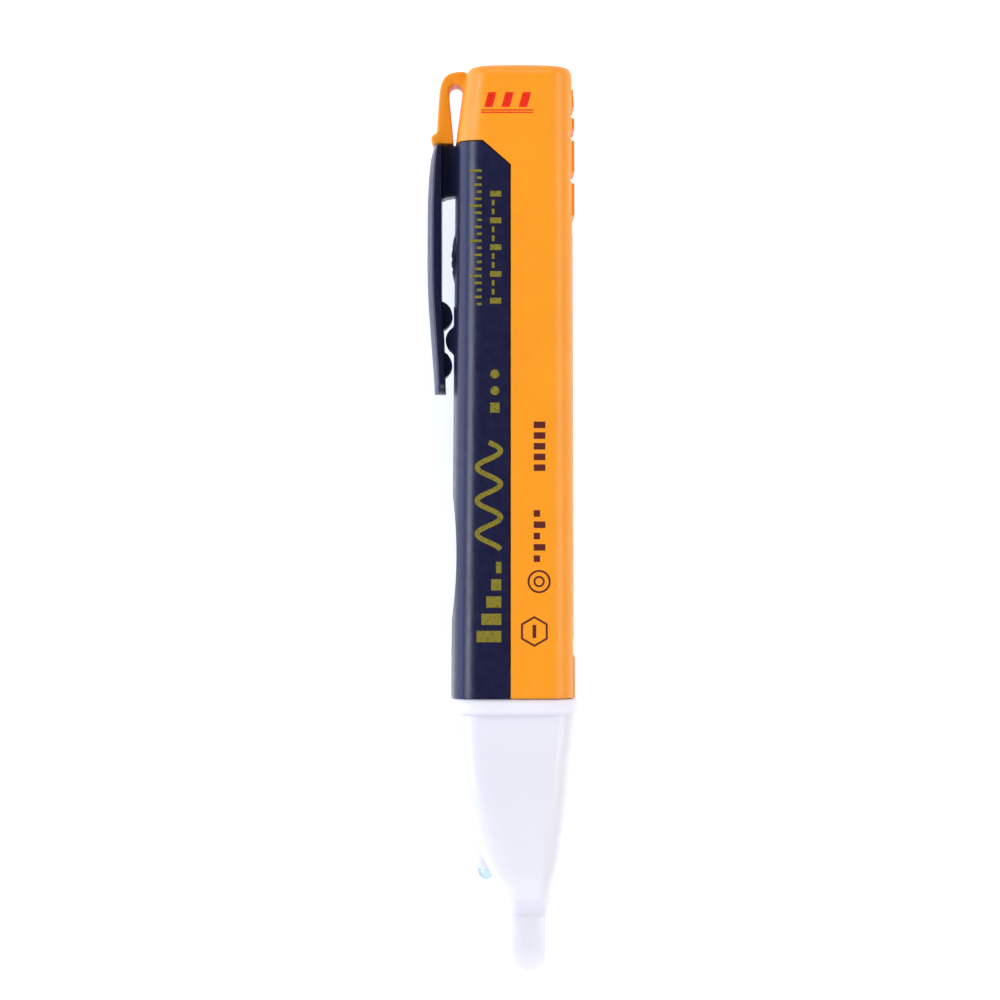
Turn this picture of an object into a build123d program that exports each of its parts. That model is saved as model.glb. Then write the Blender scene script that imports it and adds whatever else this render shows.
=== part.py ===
from build123d import *
import math
import os

# Pen-shaped non contact voltage tester, lying on its side, in millimetres.
#
# The tester is drawn about its own long axis: x runs from the cap end to the sensing tip, y from the pocket
# clip (front, negative) to the ribbed back (positive), and z across its width with z = 0 in the middle plane.
# At export every piece moves to where the tester lies on a table: the origin is then under the middle of its
# outline, and z = 0 is the table.

# ---- Cells and the bay that holds them
cell_diameter = 10.5  # AAA
cell_length = 44.5
cell_nub_diameter = 3.8
cell_nub_height = 0.9
cell_edge_radius = 0.6
cell_play = 0.5  # between a cell and the cover over it
cradle_clearance = 0.2
cradle_floor = 0.95
end_wall = 1.2
front_block = 3.7
contact_thickness = 0.3
spring_length = 3.9
spring_wire = 0.6
spring_turns = 4
spring_base_radius = 3.4
spring_top_radius = 2.2

# ---- Shells
cavity_back = 8.6  # inside of the cover's back, from the long axis
side_wall = 1.5
front_wall_at_cap = 1.2
front_wall_at_collar = 2.1
back_wall_at_cap = 1.3
back_wall_at_collar = 1.6
front_crown = 1.3
front_radius = 4.2
back_radius = 3.8
cavity_front_radius = 2.8
cavity_back_radius = 2.4
cap_thickness = 3.1
cap_crown = 0.6
cap_edge_radius = 1.9
cap_slope = 1.55  # the cap is thinner at its end than the body
end_gap = 0.3
fit_gap = 0.15  # between pieces that slide or seat on each other
seam_gap = 0.2
seam_y = -0.6
shell_start = 13.0
shell_corner_y = -5.2
shell_corner_run = 4.0

# ---- Guide rails on the tray, grooves in the cover
rail_offset = 1.2  # from the seam
rail_height = 1.0
rail_depth = 0.6

# ---- Circuit board and what stands on it
board_gap = 0.15
board_thickness = 1.0
component_space = 3.8  # from the board to the inside of the front wall
board_start = 16.0
board_side_gap = 0.4
tongue_half_width = 5.0
tongue_share = 0.517  # of the nose's length, past the end of the tray
switch_side = 6.0
switch_height = 1.7
plunger_radius = 1.6
plunger_height = 0.5

# ---- Push button
button_diameter = 9.4
button_dome_radius = 13.0
button_crown = 0.9
button_edge_rise = 0.2  # edge of the dome over the floor of the saddle
button_flange_width = 0.7
button_flange_thickness = 0.6
button_travel = 0.3
saddle_length = 21.6
saddle_depth = 0.8

# ---- Sounder
sounder_diameter = 12.6
sounder_plate_thickness = 0.2
ceramic_diameter = 9.0
ceramic_thickness = 0.25
sounder_ring_width = 1.2
sounder_ring_height = 1.0
grille_diameter = 8.6
grille_rise = 0.6
grille_slot_width = 0.8
grille_slot_pitch = 1.7

# ---- Pocket clip
clip_width = 10.0
clip_root_width = 6.4
clip_root_length = 9.3
clip_length = 42.4
clip_stand_off = 2.35  # from the front wall at the root to the inside of the clip
clip_thickness = 2.5
clip_pivot_radius = 1.18
joint_gap = 0.12
bump_width = 7.0
clip_bump_radius = 2.6
clip_bump_reach = (29.0, 37.4)  # from the shell's end under the cap
body_bump_radius = 2.5
body_bump_height = 1.4
bump_fillet = 0.9

# ---- Latch arm on the cover
latch_width = 8.0
latch_pivot_reach = 8.9  # from the arm's end
latch_rise = 4.2  # outside of the arm, from the inside of the front wall
latch_thickness = 1.8
latch_end_rise = 4.8
latch_end_depth = 3.1
latch_hole_radius = 1.15
latch_hole_x = 3.8
latch_hole_rise = 1.25
latch_lip = 0.8
latch_lip_length = 1.7
tongue_width = 3.0
tongue_thickness = 0.8
tongue_reach = 1.6
latch_swing_room = 1.2

# ---- Grip ribs and label on the cover's back
grip_start = 3.9
grip_end = 25.2
grip_rise = 0.42
grip_half_width = 6.4
groove_x = (7.8, 11.6, 15.1, 18.8)
groove_width = 1.9
groove_depth = 0.7
foot_pad_length = 6.8
label_half_width = 5.4
label_thickness = 0.12

# ---- Nose
nose_length = 47.0  # from the shells to the tip
bead_rise = 1.1  # over the sides and back
bead_front_rise = 0.8
bead_width = 2.8
nose_wall = 1.3
blade_width = 6.0
blade_thickness = 3.0
blade_length = 9.3
blade_y = 2.65
neck_length = 3.4
neck_half_width = 4.7
neck_front = 1.9  # in front of the long axis
neck_back = 6.45
blade_slot_width = 4.0
blade_slot_thickness = 1.0
spigot_length = 4.7
spigot_wall = 1.2

# ---- Lamps and sensing plate
lamp_diameter = 3.0
lamp_flange_diameter = 3.8
lamp_flange_height = 1.0
lamp_height = 5.4
lead_width = 0.5
lead_pitch = 2.54
torch_reach = 26.6  # from the bead to the end of its housing
torch_dome_reach = 2.1
torch_housing_radius = 3.15
warning_lamp_z = 3.5
warning_lamp_y = -0.9
sensing_plate_thickness = 0.3
sensing_plate_width = 2.4

# ---- Screws
screw_diameter = 1.6
screw_length = 7.6
screw_margin = 0.35  # of tray on each side of a screw head
screw_head_diameter = 2.6
screw_head_height = 1.1
screw_core = 1.4  # hole that the thread bites into
post_diameter = 3.6

# ---- Worked out from the above: along x
tray_start = cap_thickness + end_gap
spring_plate_x = tray_start + end_wall
spring_x = spring_plate_x + contact_thickness
cell_start = spring_x + spring_length
cell_end = cell_start + 2 * cell_length
tray_end = cell_end + contact_thickness + front_block
shell_end = tray_end + end_gap + spigot_length
bead_end = shell_end + bead_width
nose_end = shell_end + nose_length
blade_start = nose_end - blade_length
neck_start = blade_start - neck_length
torch_end = bead_end + torch_reach

shell_length = shell_end - shell_start
sounder_x = shell_start + 0.205 * shell_length
button_x = shell_start + 0.748 * shell_length
clip_bump_x = [shell_start + reach for reach in clip_bump_reach]
body_bump_x = sum(clip_bump_x) / 2
label_start = grip_end + 3.1
label_end = shell_end - foot_pad_length - 3.0
screw_x = (shell_start + 8.8, cell_end - 1.0)
warning_lamp_x = bead_end + 7.4

# ---- Worked out: across z
cell_radius = cell_diameter / 2
cradle_radius = cell_radius + cradle_clearance
body_half_width = (
    cradle_radius + screw_head_diameter + 2 * screw_margin + fit_gap + side_wall
)
cavity_half_width = body_half_width - side_wall
tray_half_width = cavity_half_width - fit_gap

# ---- Worked out: along y, from the cover's back to the front wall
cell_y = cavity_back - cell_play - cell_radius
tray_floor_y = cell_y - cradle_radius - cradle_floor
board_back = tray_floor_y - board_gap
board_front = board_back - board_thickness
cavity_front = board_front - component_space
tray_top_y = seam_y + rail_offset + rail_height
torch_y = board_front + 0.15
screw_z = cradle_radius + screw_margin + screw_head_diameter / 2
screw_seat_y = tray_top_y - screw_head_height - 0.5


def front_at(x):
    """y of the front wall's outside, on the middle plane, at distance x from the cap end."""
    wall = front_wall_at_cap + (front_wall_at_collar - front_wall_at_cap) * x / shell_end
    return cavity_front - wall


def back_at(x):
    """y of the back wall's outside at distance x from the cap end."""
    wall = back_wall_at_cap + (back_wall_at_collar - back_wall_at_cap) * x / shell_end
    return cavity_back + wall


def section(x, front, back, half_width, crown, front_corner, back_corner, grow=0.0):
    """Cross-section of the body or nose at x: flat sides and back, crowned front, four round corners."""
    front, back, half_width = front - grow, back + grow, half_width + grow
    with BuildSketch(Plane.YZ.offset(x)) as outline:
        with BuildLine():
            Polyline(
                (front + crown, half_width),
                (back, half_width),
                (back, -half_width),
                (front + crown, -half_width),
            )
            ThreePointArc((front + crown, -half_width), (front, 0), (front + crown, half_width))
        make_face()
        fillet(outline.vertices().group_by(Axis.X)[-1], back_corner + grow)
        fillet(outline.vertices().group_by(Axis.X)[0], front_corner + grow)
    return outline.sketch


def body_section(x, grow=0.0):
    """Outside of the two shells at x."""
    return section(x, front_at(x), back_at(x), body_half_width, front_crown, front_radius, back_radius, grow)


def cavity_section(x, inset=0.0):
    """Inside of the two shells, the same all along so that the cover can slide."""
    return section(
        x,
        cavity_front,
        cavity_back,
        cavity_half_width,
        front_crown,
        cavity_front_radius,
        cavity_back_radius,
        -inset,
    )


def side_profile(*points):
    """Closed outline in the side view, through straight-line points."""
    with BuildSketch(Plane.XY) as outline:
        with BuildLine():
            Polyline(*points, close=True)
        make_face()
    return outline.sketch


def shell_zone(gap=0.0):
    """Side-view area that belongs to the front shell, grown by gap."""
    corner_slope = math.atan2(seam_y - shell_corner_y, shell_corner_run)
    slide = gap * math.tan(corner_slope / 2)
    start = shell_start - gap
    return side_profile(
        (start, 3 * cavity_front),
        (start, shell_corner_y + gap * math.tan((math.pi / 2 - corner_slope) / 2)),
        (shell_start + shell_corner_run - slide, seam_y + gap),
        (shell_end + 1, seam_y + gap),
        (shell_end + 1, 3 * cavity_front),
    )


wide = 2 * body_half_width  # half length of a cutter that passes right through the body


# ==== Front shell: the clip side of the body, with sounder grille, saddle and posts
with BuildPart() as grille_dome:
    grille_curve = ((grille_diameter / 2) ** 2 + grille_rise**2) / (2 * grille_rise)
    with Locations((sounder_x, front_at(sounder_x) - grille_rise + grille_curve, 0)):
        Sphere(grille_curve)
    with BuildSketch(Plane.XZ.offset(-cavity_front)):
        with Locations((sounder_x, 0)):
            Circle(grille_diameter / 2)
    extrude(amount=grille_curve, mode=Mode.INTERSECT)

with BuildPart() as screw_posts:
    loft(sections=[body_section(0), body_section(shell_end)], ruled=True)
    # the posts end inside the rounded corners of the wall
    with BuildSketch(Plane.XZ.offset(-board_front)):
        for x in screw_x:
            with Locations((x, screw_z), (x, -screw_z)):
                Circle(post_diameter / 2)
    extrude(amount=component_space + 0.8, mode=Mode.INTERSECT)

with BuildPart() as front_shell:
    loft(sections=[body_section(0), body_section(shell_end)], ruled=True)
    add(grille_dome.part)
    # bump that the clip's own bumps close on, with soft feet
    with BuildSketch(Plane.XY) as bump:
        with Locations((body_bump_x, front_at(body_bump_x) - body_bump_height + body_bump_radius)):
            Circle(body_bump_radius)
        with Locations((body_bump_x, front_at(body_bump_x) + 1)):
            Rectangle(4.5 * body_bump_radius, 2)
        fillet(bump.vertices().filter_by(lambda v: abs(v.X - body_bump_x) < 1.2 * body_bump_radius), bump_fillet)
    extrude(amount=bump_width / 2, both=True)
    # saddle for the thumb, round the button
    with BuildSketch(Plane.XY):
        with BuildLine():
            rim_y = (front_at(button_x - saddle_length / 2), front_at(button_x + saddle_length / 2))
            Polyline(
                (button_x + saddle_length / 2, rim_y[1]),
                (button_x + saddle_length / 2, 2 * cavity_front),
                (button_x - saddle_length / 2, 2 * cavity_front),
                (button_x - saddle_length / 2, rim_y[0]),
            )
            ThreePointArc(
                (button_x - saddle_length / 2, rim_y[0]),
                (button_x, front_at(button_x) + saddle_depth),
                (button_x + saddle_length / 2, rim_y[1]),
            )
        make_face()
    extrude(amount=wide, both=True, mode=Mode.SUBTRACT)
    # hollow inside, and only the front zone kept
    extrude(cavity_section(0), amount=shell_end + 1, mode=Mode.SUBTRACT)
    extrude(shell_zone(), amount=wide, both=True, mode=Mode.INTERSECT)
    # sounder ring and screw posts inside
    with BuildSketch(Plane.XZ.offset(-cavity_front)):
        with Locations((sounder_x, 0)):
            Circle(sounder_diameter / 2 + 0.3)
            Circle(sounder_diameter / 2 - sounder_ring_width, mode=Mode.SUBTRACT)
    extrude(amount=-sounder_ring_height)
    add(screw_posts.part)
    with BuildSketch(Plane.XZ.offset(-board_front)):
        for x in screw_x:
            with Locations((x, screw_z), (x, -screw_z)):
                Circle(screw_core / 2)
    extrude(amount=component_space - 0.6, mode=Mode.SUBTRACT)
    # flat seat for the button's flange, inside the crowned wall
    with BuildSketch(Plane.XZ.offset(-cavity_front)):
        with Locations((button_x, 0)):
            Circle(button_diameter / 2 + button_flange_width + 0.3)
    extrude(amount=-button_flange_width - 2, mode=Mode.SUBTRACT)
    # holes for the button and the sound
    with BuildSketch(Plane.XZ):
        with Locations((button_x, 0)):
            Circle(button_diameter / 2 + fit_gap)
        with Locations((sounder_x, 0)):
            with GridLocations(grille_slot_pitch, 1, 3, 1):
                SlotOverall(grille_diameter * 0.55, grille_slot_width, rotation=90)
    extrude(amount=-2 * cavity_front, mode=Mode.SUBTRACT)
front_shell.part.label = "front_shell"

# ==== Clip shoulder: the part of the clip moulding that stays rigid, with the pocket for the cover's tongue
clip_inner_y = front_at(shell_start) - clip_stand_off
clip_outer_y = clip_inner_y - clip_thickness
latch_outer_y = cavity_front - latch_rise
latch_inner_y = latch_outer_y + latch_thickness
latch_end_outer_y = cavity_front - latch_end_rise
latch_end_inner_y = latch_end_outer_y + latch_end_depth
latch_hole_y = cavity_front - latch_hole_rise
clip_pivot_x = shell_start + clip_root_length + 0.25
clip_pivot_y = (clip_inner_y + clip_outer_y) / 2
clip_end = clip_pivot_x - 0.25 + clip_length - clip_root_length
latch_pivot_y = (latch_outer_y + latch_inner_y) / 2
latch_pivot_radius = (latch_inner_y - latch_outer_y) / 2
latch_end = shell_start - seam_gap
latch_pivot_x = latch_end - latch_pivot_reach
tongue_outer_y = latch_pivot_y + 0.1

with BuildPart() as clip_shoulder:
    with BuildSketch(Plane.XY) as shoulder_side:
        with BuildLine():
            Polyline(
                (shell_start, cavity_front),
                (shell_start, latch_end_outer_y - 0.2),
                (shell_start + 1.9, clip_outer_y + 0.5),
                (clip_pivot_x - 0.25, clip_outer_y + 0.06),
                (clip_pivot_x - 0.25, clip_inner_y),
                (clip_pivot_x - 1.0, cavity_front),
                close=True,
            )
        make_face()
        fillet(shoulder_side.vertices().group_by(Axis.Y)[0], 1.5)
    extrude(amount=clip_width / 2, both=True)
    # under the strap the root is narrower and ends with a soft corner
    with BuildSketch(Plane.XZ.offset(-clip_inner_y)) as beside_root:
        with Locations((shell_start + clip_root_length / 2, 0)):
            Rectangle(3 * clip_root_length, 2 * clip_width)
        with Locations((shell_start + clip_root_length / 2 - 1.2, 0)):
            Rectangle(clip_root_length + 0.4, clip_root_width, mode=Mode.SUBTRACT)
    extrude(amount=clip_inner_y, mode=Mode.SUBTRACT)
    # outer face crowned like the clip
    with BuildSketch(Plane.YZ) as crowned:
        with BuildLine():
            crown_front = clip_outer_y
            Line((crown_front + 1.0, clip_width / 2), (cavity_front + 1, clip_width / 2))
            Line((cavity_front + 1, clip_width / 2), (cavity_front + 1, -clip_width / 2))
            Line((cavity_front + 1, -clip_width / 2), (crown_front + 1.0, -clip_width / 2))
            ThreePointArc(
                (crown_front + 1.0, -clip_width / 2),
                (crown_front, 0),
                (crown_front + 1.0, clip_width / 2),
            )
        make_face()
        fillet(crowned.vertices().group_by(Axis.X)[0], 0.35)
    extrude(amount=shell_end, mode=Mode.INTERSECT)
    # socket that the clip bends about
    with BuildSketch(Plane.XY):
        with Locations((clip_pivot_x, clip_pivot_y)):
            Circle(clip_pivot_radius + joint_gap)
    extrude(amount=clip_width, both=True, mode=Mode.SUBTRACT)
    # pocket for the tongue, with room for its swing
    with Locations((shell_start, tongue_outer_y + tongue_thickness + fit_gap, 0)):
        Box(
            2 * (tongue_reach + 0.6),
            tongue_thickness + latch_swing_room + fit_gap,
            tongue_width + 0.4,
            align=(Align.CENTER, Align.MAX, Align.CENTER),
            mode=Mode.SUBTRACT,
        )
    add(front_shell.part, mode=Mode.SUBTRACT)
    with BuildSketch(Plane.XY):
        with Locations((shell_start, cavity_front)):
            Rectangle(5 * clip_length, 2.2, align=(Align.CENTER, Align.MIN))
    extrude(amount=wide, both=True, mode=Mode.SUBTRACT)
clip_shoulder.part.label = "clip_shoulder"


# ==== Pocket clip: the springy strip, with its two bumps
def clip_section(x, outer, inner, half_width):
    """Cross-section of the clip strip at x: crowned outside, flat inside."""
    return section(x, outer, inner, half_width, 1.0, 0.35, 0.3)


with BuildPart() as pocket_clip:
    loft(
        sections=[
            clip_section(clip_pivot_x - 2, clip_outer_y + 0.08, clip_inner_y, clip_width / 2),
            clip_section(clip_pivot_x + 6, clip_outer_y, clip_inner_y, clip_width / 2),
            clip_section(clip_pivot_x + 15, clip_outer_y + 0.05, clip_inner_y, 0.485 * clip_width),
            clip_section(clip_pivot_x + 25, clip_outer_y + 0.75, clip_inner_y + 0.4, 0.455 * clip_width),
            clip_section(clip_end, clip_outer_y + 1.3, clip_inner_y + 0.65, 0.425 * clip_width),
        ]
    )
    for x in clip_bump_x:
        with BuildSketch(Plane.XY):
            with Locations((x, front_at(x) - 0.3 - clip_bump_radius)):
                Circle(clip_bump_radius)
            with Locations((x, clip_outer_y + 0.9)):
                Rectangle(4 * clip_bump_radius, 6, align=(Align.CENTER, Align.MAX), mode=Mode.SUBTRACT)
        extrude(amount=bump_width / 2, both=True)
    # round end at the joint, soft corners at the free end
    with BuildSketch(Plane.XY) as clip_side:
        with Locations((clip_pivot_x, clip_pivot_y)):
            Circle(clip_pivot_radius)
            Rectangle(clip_end - clip_pivot_x, 12, align=(Align.MIN, Align.CENTER))
    extrude(amount=clip_width, both=True, mode=Mode.INTERSECT)
    with BuildSketch(Plane.XZ.offset(-clip_outer_y + 3)) as clip_plan:
        with Locations((clip_end, 0)):
            Rectangle(clip_length, clip_width, align=(Align.MAX, Align.CENTER))
        fillet(clip_plan.vertices().group_by(Axis.X)[-1], 2.4)
    extrude(amount=-12, mode=Mode.INTERSECT)
pocket_clip.part.label = "pocket_clip"

# ==== Battery cover: the rear shell and the cap in one, with grip ribs
cap_front_y = front_at(0) + cap_slope
ring_end = shell_start - seam_gap


def cap_section():
    """Outside of the cap at its end, before its edges are softened."""
    return section(
        0, cap_front_y, back_at(0), body_half_width, front_crown, front_radius - 0.6, back_radius
    )


# solid fill behind the cap's sloping front
with BuildPart() as cap_front:
    loft(sections=[cap_section(), body_section(ring_end)], ruled=True)
    with Locations((cap_thickness - 0.5, board_front - 1.2, 0)):
        Box(
            ring_end - cap_thickness + 0.5,
            20,
            4 * body_half_width,
            align=(Align.MIN, Align.MAX, Align.CENTER),
            mode=Mode.INTERSECT,
        )

with BuildPart() as battery_cover:
    loft(sections=[cap_section(), body_section(ring_end)], ruled=True)
    end_face = battery_cover.faces().sort_by(Axis.X)[0]
    fillet(end_face.edges(), cap_edge_radius)
    # crowned end
    with BuildSketch(Plane.XY) as end_side:
        with BuildLine():
            ThreePointArc(
                (cap_crown, cap_front_y),
                (0, (cap_front_y + back_at(0)) / 2 - 0.6),
                (cap_crown, back_at(0)),
            )
            Polyline(
                (cap_crown, back_at(0)),
                (cap_crown, back_at(0) + 9),
                (ring_end, back_at(0) + 9),
                (ring_end, cap_front_y - 9),
                (cap_crown, cap_front_y - 9),
                (cap_crown, cap_front_y),
            )
        make_face()
    extrude(amount=wide, both=True, mode=Mode.INTERSECT)
    loft(sections=[body_section(ring_end), body_section(shell_end)], ruled=True)
    extrude(shell_zone(seam_gap), amount=wide, both=True, mode=Mode.SUBTRACT)
    # grip pad and foot pad on the back
    with BuildSketch(Plane.XY) as pads:
        with BuildLine():
            Polyline(
                (grip_start, cavity_back + 0.4),
                (grip_start, back_at(grip_start) + 0.5 * grip_rise),
                (grip_start + 4, back_at(grip_start + 4) + grip_rise),
                (grip_end, back_at(grip_end) + grip_rise),
                (grip_end, cavity_back + 0.4),
                close=True,
            )
        make_face()
        with BuildLine():
            foot_start = shell_end - foot_pad_length
            Polyline(
                (foot_start, cavity_back + 0.4),
                (foot_start, back_at(foot_start) + 0.6 * grip_rise),
                (shell_end, back_at(shell_end) + 0.6 * grip_rise),
                (shell_end, cavity_back + 0.4),
                close=True,
            )
        make_face()
    extrude(amount=grip_half_width, both=True)
    # grooves right across, between the ribs
    with BuildSketch(Plane.XY) as grooves:
        groove_curve = ((groove_width / 2) ** 2 + groove_depth**2) / (2 * groove_depth)
        for x in groove_x:
            with Locations((x, back_at(x) - groove_depth + 0.1 + groove_curve)):
                Circle(groove_curve)
    extrude(amount=wide, both=True, mode=Mode.SUBTRACT)
    # hollow inside; the cap stays thick in front
    extrude(cavity_section(cap_thickness), amount=shell_end, mode=Mode.SUBTRACT)
    add(cap_front.part)
    # grooves for the tray's rails, open at the nose end
    for side in (-1, 1):
        with Locations((shell_start + shell_corner_run, seam_y + rail_offset - fit_gap, 0)):
            Box(
                shell_end,
                rail_height + 2 * fit_gap,
                tray_half_width + rail_depth + fit_gap,
                align=(Align.MIN, Align.MIN, Align.MIN if side > 0 else Align.MAX),
                mode=Mode.SUBTRACT,
            )
battery_cover.part.label = "battery_cover"

# ==== Latch loop: the fixed half of the strap on the cap, with its lanyard hole
with BuildPart() as latch_loop:
    with BuildSketch(Plane.XY) as loop_side:
        with BuildLine():
            Line((cap_thickness + 5, cap_front_y + 2), (0.7, cap_front_y + 2))
            Line((0.7, cap_front_y + 2), (0.55, cap_front_y - 0.2))
            Spline(
                (0.55, cap_front_y - 0.2),
                (0.75, latch_hole_y),
                (1.25, latch_outer_y + 1.3),
                (2.5, latch_outer_y + 0.45),
                (latch_pivot_x - 0.2, latch_outer_y),
            )
            Line((latch_pivot_x - 0.2, latch_outer_y), (latch_pivot_x - 0.2, latch_inner_y))
            Line((latch_pivot_x - 0.2, latch_inner_y), (cap_thickness + 5, latch_hole_y + 0.6))
            Line((cap_thickness + 5, latch_hole_y + 0.6), (cap_thickness + 5, cap_front_y + 2))
        make_face()
        # lanyard hole, a drop shape that opens into the slit behind the latch arm
        with Locations((latch_hole_x, latch_hole_y)):
            Circle(latch_hole_radius, mode=Mode.SUBTRACT)
        with BuildLine():
            Polyline(
                (latch_hole_x, latch_hole_y - latch_hole_radius),
                (cap_thickness + 6, latch_hole_y - latch_hole_radius),
                (cap_thickness + 6, latch_hole_y + latch_hole_radius - 0.3),
                (latch_hole_x, latch_hole_y + latch_hole_radius),
                close=True,
            )
        make_face(mode=Mode.SUBTRACT)
        with Locations((latch_pivot_x, latch_pivot_y)):
            Circle(latch_pivot_radius + joint_gap, mode=Mode.SUBTRACT)
        with Locations((latch_pivot_x - 0.2, latch_pivot_y)):
            Rectangle(6, 4, align=(Align.MIN, Align.CENTER), mode=Mode.SUBTRACT)
    extrude(amount=latch_width / 2, both=True)
    side_edges = latch_loop.edges().filter_by(GeomType.BSPLINE)
    fillet(side_edges, 0.5)
    add(battery_cover.part, mode=Mode.SUBTRACT)
    with Locations((cap_thickness, cavity_front + 1, 0)):
        Box(
            3 * cap_thickness,
            20,
            4 * latch_width,
            align=(Align.MIN, Align.MIN, Align.CENTER),
            mode=Mode.SUBTRACT,
        )
latch_loop.part.label = "latch_loop"

# ==== Latch arm: the springy half of the strap, with its thumb lip and the tongue that holds the cover shut
with BuildPart() as latch_arm:
    with BuildSketch(Plane.XY) as arm_side:
        with Locations((latch_pivot_x, latch_pivot_y)):
            Circle(latch_pivot_radius)
        with BuildLine():
            lip_x = latch_end - latch_lip_length
            Polyline(
                (latch_pivot_x, latch_outer_y),
                (lip_x - 0.3, latch_end_outer_y + 0.05),
                (lip_x, latch_end_outer_y - latch_lip),
                (latch_end, latch_end_outer_y - latch_lip),
                (latch_end, latch_end_inner_y),
                (latch_pivot_x + 3.5, latch_end_inner_y - 0.3),
                (latch_pivot_x, latch_inner_y),
                close=True,
            )
        make_face()
        fillet(arm_side.vertices().group_by(Axis.Y)[0], 0.35)
    extrude(amount=latch_width / 2, both=True)
    with Locations((latch_end - 1, tongue_outer_y, 0)):
        Box(
            1 + seam_gap + tongue_reach,
            tongue_thickness,
            tongue_width,
            align=(Align.MIN, Align.MIN, Align.CENTER),
        )
    tongue_tip = latch_arm.faces().sort_by(Axis.X)[-1]
    chamfer(tongue_tip.edges().filter_by(Axis.Z), 0.2)
latch_arm.part.label = "latch_arm"

# ==== Label on the cover's back
with BuildPart() as rear_label:
    label_run = label_end - label_start
    label_slope = math.degrees(math.atan2(back_at(label_end) - back_at(label_start), label_run))
    label_plane = Plane(
        origin=((label_start + label_end) / 2, (back_at(label_start) + back_at(label_end)) / 2, 0),
        x_dir=(math.cos(math.radians(label_slope)), math.sin(math.radians(label_slope)), 0),
        z_dir=(-math.sin(math.radians(label_slope)), math.cos(math.radians(label_slope)), 0),
    )
    with BuildSketch(label_plane):
        RectangleRounded(label_run, 2 * label_half_width, 1.2)
    extrude(amount=label_thickness)
rear_label.part.label = "rear_label"

# ==== Nose: translucent housing with its spigot, bead, torch housing and sensing blade
nose_start = shell_end + fit_gap
front_share = ((0.0, 0.0), (0.17, 0.0), (0.31, 0.062), (0.45, 0.165), (0.61, 0.352), (0.75, 0.54), (1.0, 1.0))
collar_front = front_at(shell_end) + 0.3
collar_back = back_at(shell_end) + 0.1
collar_half_width = body_half_width - 0.4


def share_of(pairs, along):
    """Value at a place along, straight between the given pairs."""
    for (x0, f0), (x1, f1) in zip(pairs, pairs[1:]):
        if x0 <= along <= x1:
            return f0 + (f1 - f0) * (along - x0) / (x1 - x0)
    return pairs[-1][1]


back_share = ((0.0, 0.0), (0.17, 0.08), (0.31, 0.2), (0.45, 0.3), (0.61, 0.45), (0.75, 0.6), (1.0, 1.0))
side_share = ((0.0, 0.0), (0.17, 0.05), (0.31, 0.15), (0.45, 0.28), (0.61, 0.47), (0.75, 0.65), (1.0, 1.0))


def nose_section(along, inset=0.0):
    """Cross-section of the nose, along from 0 at the bead to 1 at the neck."""
    front, back, side = (share_of(p, along) for p in (front_share, back_share, side_share))
    return section(
        bead_end + along * (neck_start - bead_end),
        collar_front + front * (-neck_front - collar_front),
        collar_back + back * (neck_back - collar_back),
        collar_half_width + side * (neck_half_width - collar_half_width),
        front_crown * (1 - 0.45 * front),
        front_radius + front * (2.7 - front_radius),
        back_radius + back * (2.7 - back_radius),
        -inset,
    )


with BuildPart() as bead:
    bead_section = section(
        nose_start,
        front_at(shell_end) - bead_front_rise,
        back_at(shell_end) + bead_rise,
        body_half_width + bead_rise,
        front_crown,
        front_radius + bead_rise,
        back_radius + bead_rise,
    )
    extrude(bead_section, amount=bead_width - fit_gap)
    fillet(bead.faces().filter_by(Axis.X).edges(), 0.47 * (bead_width - fit_gap))

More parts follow.
